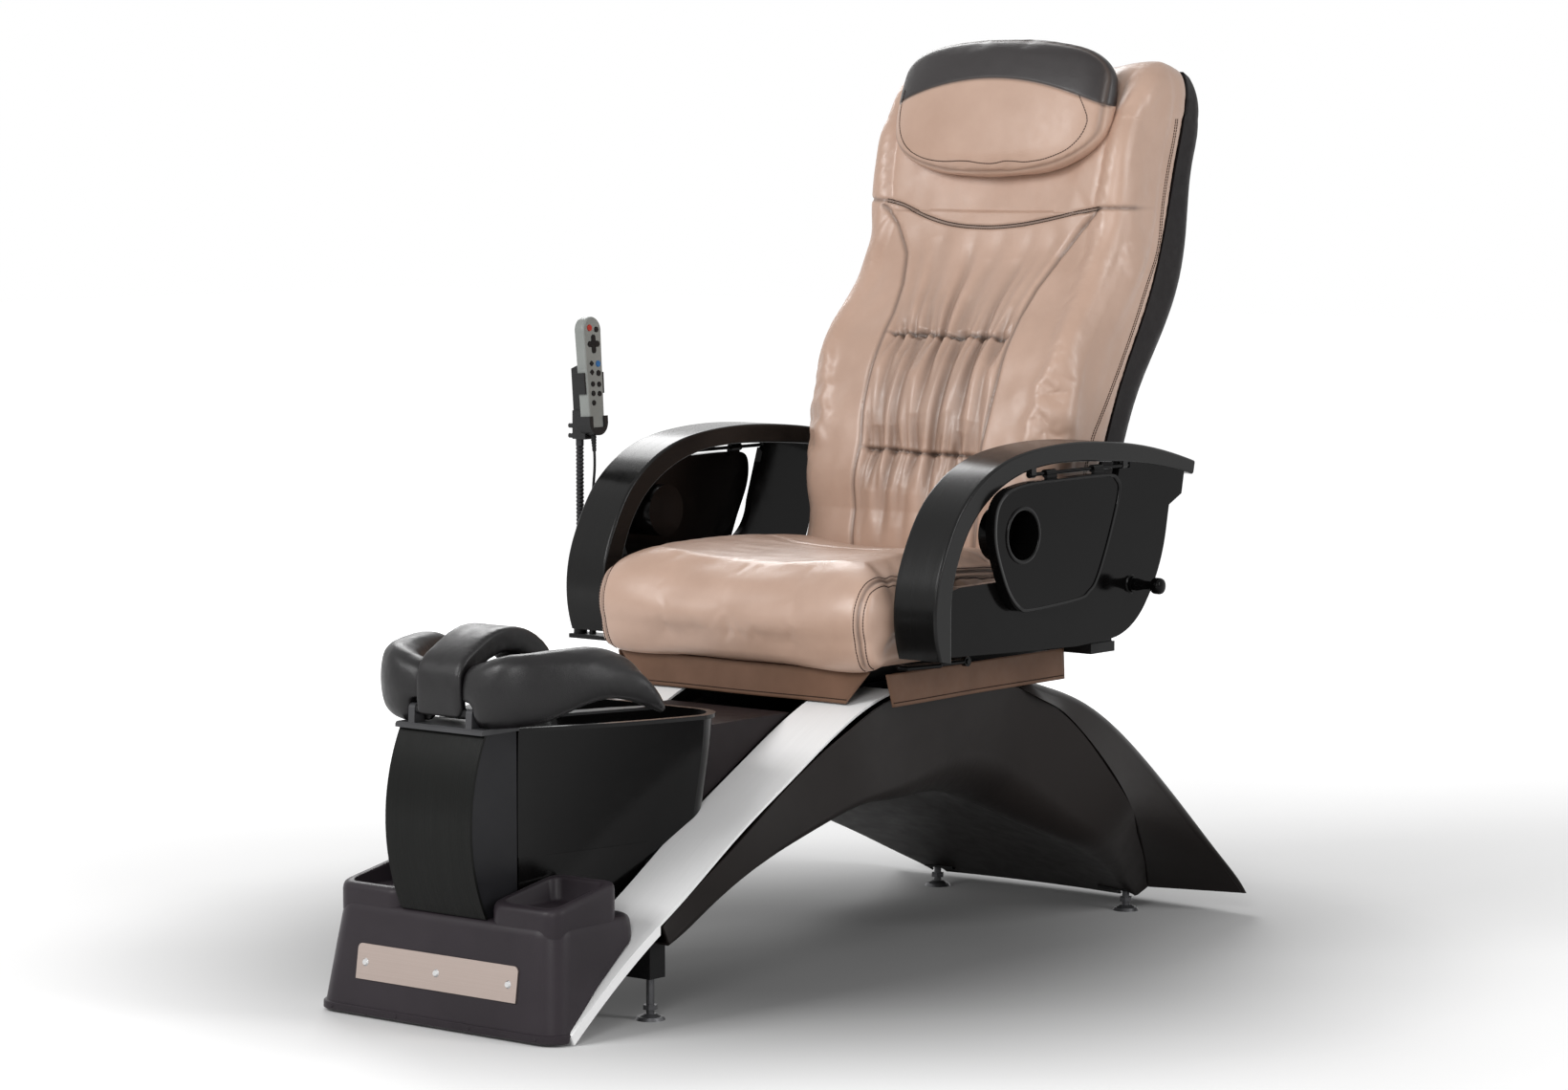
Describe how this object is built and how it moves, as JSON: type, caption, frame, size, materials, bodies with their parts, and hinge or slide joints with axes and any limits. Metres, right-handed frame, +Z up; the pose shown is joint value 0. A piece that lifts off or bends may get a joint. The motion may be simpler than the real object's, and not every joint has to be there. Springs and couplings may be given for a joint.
{
  "type": "pedicure spa chair",
  "caption": "Reclining spa chair on an arched base with a fishtail, with foot basin, padded footrest on a column, fold-down side trays and a remote control on a gooseneck.",
  "frame": {"origin": "on the floor under the middle of the chair's box (feet down)", "axes": "+X across the chair to the sitter's left, which is the near side in the picture, +Y to the rear, so the sitter looks along -Y, +Z up"},
  "size_m": [0.858, 1.6154, 1.4332],
  "materials": {
    "frame_steel": "satin black powder coat",
    "cover_dark": "satin brown-black moulded",
    "trim_bright": "satin anodised",
    "base_plum": "satin plum-charcoal moulded",
    "plate_steel": "warm brushed",
    "screw_steel": "polished",
    "foot_steel": "zinc plated",
    "column_dark": "satin black",
    "panel_black": "brushed black, vertical grain",
    "cap_grey": "satin grey",
    "basin_dark": "glossy moulded",
    "drain_chrome": "polished",
    "pad_black": "satin coated upholstery",
    "carrier_steel": "satin black",
    "leather_champagne": "soft satin",
    "shell_charcoal": "coated, satin",
    "arm_black": "high gloss",
    "lever_dark": "satin",
    "drive_grey": "moulded",
    "rod_steel": "ground",
    "roller_grey": "matt",
    "neck_steel": "flexible metal hose",
    "cradle_grey": "moulded",
    "handset_grey": "fine grain",
    "key_dark": "matt",
    "key_blue": "matt",
    "cord_black": "matt"
  },
  "bodies": {
    "base": {"base_frame": "frame_steel", "arch_cover": "cover_dark", "tail_cover": "cover_dark", "trim_bands": "trim_bright", "front_base": "base_plum", "kick_plate": "plate_steel", "plate_screws": "screw_steel", "footrest_column": "column_dark", "column_panel": "panel_black", "column_cap": "cap_grey", "basin": "basin_dark", "basin_drain": "drain_chrome", "pump_housing": "cover_dark", "seat_plate": "frame_steel"},
    "foot_fl": {"foot_front_left": "foot_steel"},
    "foot_fr": {"foot_front_right": "foot_steel"},
    "foot_rl": {"foot_rear_left": "foot_steel"},
    "foot_rr": {"foot_rear_right": "foot_steel"},
    "footrest": {"footrest_carrier": "carrier_steel", "footrest_wings": "pad_black", "footrest_strap": "pad_black"},
    "seat": {"seat_frame": "frame_steel", "seat_cushion": "leather_champagne", "front_skirt": "leather_champagne", "side_skirts": "leather_champagne", "recline_actuator": "drive_grey", "gooseneck": "neck_steel", "cradle": "cradle_grey", "handset_cord": "cord_black"},
    "lever": {"slide_lever": "lever_dark"},
    "remote": {"handset": "handset_grey", "cord_boot": "cord_black"},
    "back": {"back_frame": "frame_steel", "back_shell": "shell_charcoal", "back_cushion": "leather_champagne"},
    "drive_rod": {"actuator_rod": "rod_steel"},
    "head_pillow": {"pillow": "leather_champagne"},
    "carriage": {"massage_carriage": "drive_grey"},
    "rollers": {"massage_rollers": "roller_grey"},
    "arm_left": {"arm_band_left": "arm_black", "arm_panel_left": "arm_black"},
    "arm_right": {"arm_band_right": "arm_black", "arm_panel_right": "arm_black"},
    "knob_left": {"pull_knob_left": "screw_steel"},
    "knob_right": {"pull_knob_right": "screw_steel"},
    "tray_l": {"tray_left": "arm_black"},
    "tray_r": {"tray_right": "arm_black"},
    "key_power_cap": {"key_power": "key_dark"},
    "key_top_right_cap": {"key_top_right": "key_dark"},
    "key_navigation_cap": {"key_navigation": "key_dark"},
    "key_left_upper_cap": {"key_left_upper": "key_dark"},
    "key_blue_cap": {"key_blue": "key_blue"},
    "key_left_lower_cap": {"key_left_lower": "key_dark"},
    "key_right_lower_cap": {"key_right_lower": "key_dark"},
    "key_round_1_cap": {"key_round_1": "key_dark"},
    "key_round_2_cap": {"key_round_2": "key_dark"},
    "key_round_3_cap": {"key_round_3": "key_dark"},
    "key_round_4_cap": {"key_round_4": "key_dark"},
    "key_round_5_cap": {"key_round_5": "key_dark"}
  },
  "joints": [
    {"name": "foot_turn_fl", "type": "hinge", "parent": "base", "child": "foot_fl", "pos_m": [0.195, -0.54675, 0], "axis": [0, 0, 1], "continuous": true},
    {"name": "foot_turn_fr", "type": "hinge", "parent": "base", "child": "foot_fr", "pos_m": [-0.195, -0.54675, 0], "axis": [0, 0, 1], "continuous": true},
    {"name": "foot_turn_rl", "type": "hinge", "parent": "base", "child": "foot_rl", "pos_m": [0.195, 0.65825, 0], "axis": [0, 0, 1], "continuous": true},
    {"name": "foot_turn_rr", "type": "hinge", "parent": "base", "child": "foot_rr", "pos_m": [-0.195, 0.65825, 0], "axis": [0, 0, 1], "continuous": true},
    {"name": "footrest_tilt", "type": "hinge", "parent": "base", "child": "footrest", "pos_m": [0, -0.77175, 0.458], "axis": [1, 0, 0], "range_deg": [0, 70]},
    {"name": "seat_slide", "type": "slide", "parent": "base", "child": "seat", "axis": [0, -1, 0], "range_m": [0, 0.06]},
    {"name": "lever_lift", "type": "hinge", "parent": "seat", "child": "lever", "pos_m": [0.281, 0.10025, 0.471], "axis": [1, 0, 0], "range_deg": [0, 10], "stiffness_Nm_per_rad": 1.5, "springref_deg": -5.73},
    {"name": "handset_lift", "type": "slide", "parent": "seat", "child": "remote", "axis": [-0.0698, 0, 0.9976], "range_m": [0, 0.045]},
    {"name": "key_power_press", "type": "slide", "parent": "remote", "child": "key_power_cap", "axis": [-0.9976, 0, -0.0698], "range_m": [0, 0.001], "stiffness_N_per_m": 350, "springref_m": -0.0004},
    {"name": "key_top_right_press", "type": "slide", "parent": "remote", "child": "key_top_right_cap", "axis": [-0.9976, 0, -0.0698], "range_m": [0, 0.001], "stiffness_N_per_m": 350, "springref_m": -0.0004},
    {"name": "key_navigation_press", "type": "slide", "parent": "remote", "child": "key_navigation_cap", "axis": [-0.9976, 0, -0.0698], "range_m": [0, 0.001], "stiffness_N_per_m": 350, "springref_m": -0.0004},
    {"name": "key_left_upper_press", "type": "slide", "parent": "remote", "child": "key_left_upper_cap", "axis": [-0.9976, 0, -0.0698], "range_m": [0, 0.001], "stiffness_N_per_m": 350, "springref_m": -0.0004},
    {"name": "key_blue_press", "type": "slide", "parent": "remote", "child": "key_blue_cap", "axis": [-0.9976, 0, -0.0698], "range_m": [0, 0.001], "stiffness_N_per_m": 350, "springref_m": -0.0004},
    {"name": "key_left_lower_press", "type": "slide", "parent": "remote", "child": "key_left_lower_cap", "axis": [-0.9976, 0, -0.0698], "range_m": [0, 0.001], "stiffness_N_per_m": 350, "springref_m": -0.0004},
    {"name": "key_right_lower_press", "type": "slide", "parent": "remote", "child": "key_right_lower_cap", "axis": [-0.9976, 0, -0.0698], "range_m": [0, 0.001], "stiffness_N_per_m": 350, "springref_m": -0.0004},
    {"name": "key_round_1_press", "type": "slide", "parent": "remote", "child": "key_round_1_cap", "axis": [-0.9976, 0, -0.0698], "range_m": [0, 0.001], "stiffness_N_per_m": 350, "springref_m": -0.0004},
    {"name": "key_round_2_press", "type": "slide", "parent": "remote", "child": "key_round_2_cap", "axis": [-0.9976, 0, -0.0698], "range_m": [0, 0.001], "stiffness_N_per_m": 350, "springref_m": -0.0004},
    {"name": "key_round_3_press", "type": "slide", "parent": "remote", "child": "key_round_3_cap", "axis": [-0.9976, 0, -0.0698], "range_m": [0, 0.001], "stiffness_N_per_m": 350, "springref_m": -0.0004},
    {"name": "key_round_4_press", "type": "slide", "parent": "remote", "child": "key_round_4_cap", "axis": [-0.9976, 0, -0.0698], "range_m": [0, 0.001], "stiffness_N_per_m": 350, "springref_m": -0.0004},
    {"name": "key_round_5_press", "type": "slide", "parent": "remote", "child": "key_round_5_cap", "axis": [-0.9976, 0, -0.0698], "range_m": [0, 0.001], "stiffness_N_per_m": 350, "springref_m": -0.0004},
    {"name": "recline", "type": "hinge", "parent": "seat", "child": "back", "pos_m": [0, 0.38525, 0.56], "axis": [-1, 0, 0], "range_deg": [0, 30]},
    {"name": "drive_extend", "type": "slide", "parent": "seat", "child": "drive_rod", "axis": [0, -1, 0], "range_m": [0, 0.057]},
    {"name": "pillow_height", "type": "slide", "parent": "back", "child": "head_pillow", "axis": [0, 0.3907, 0.9205], "range_m": [-0.05, 0.03]},
    {"name": "massage_travel", "type": "slide", "parent": "back", "child": "carriage", "axis": [0, 0.3858, 0.9226], "range_m": [-0.09, 0.4]},
    {"name": "roller_spin", "type": "hinge", "parent": "carriage", "child": "rollers", "pos_m": [0, 0.49227, 0.82116], "axis": [1, 0, 0], "continuous": true},
    {"name": "arm_raise_left", "type": "hinge", "parent": "seat", "child": "arm_left", "pos_m": [0.323, 0.42225, 0.542], "axis": [-1, 0, 0], "range_deg": [0, 80]},
    {"name": "knob_pull_left", "type": "slide", "parent": "arm_left", "child": "knob_left", "axis": [1, 0, 0], "range_m": [0, 0.008], "stiffness_N_per_m": 1200, "springref_m": -0.002},
    {"name": "tray_fold_left", "type": "hinge", "parent": "arm_left", "child": "tray_l", "pos_m": [0.366, 0.28025, 0.76], "axis": [0, -1, 0], "range_deg": [0, 90]},
    {"name": "arm_raise_right", "type": "hinge", "parent": "seat", "child": "arm_right", "pos_m": [-0.323, 0.42225, 0.542], "axis": [-1, 0, 0], "range_deg": [0, 80]},
    {"name": "knob_pull_right", "type": "slide", "parent": "arm_right", "child": "knob_right", "axis": [-1, 0, 0], "range_m": [0, 0.008], "stiffness_N_per_m": 1200, "springref_m": -0.002},
    {"name": "tray_fold_right", "type": "hinge", "parent": "arm_right", "child": "tray_r", "pos_m": [-0.366, 0.28025, 0.76], "axis": [0, 1, 0], "range_deg": [0, 90]}
  ],
  "couplings": [
    {"joint": "drive_extend", "follows": "recline", "m_per_rad": 0.10875}
  ]
}
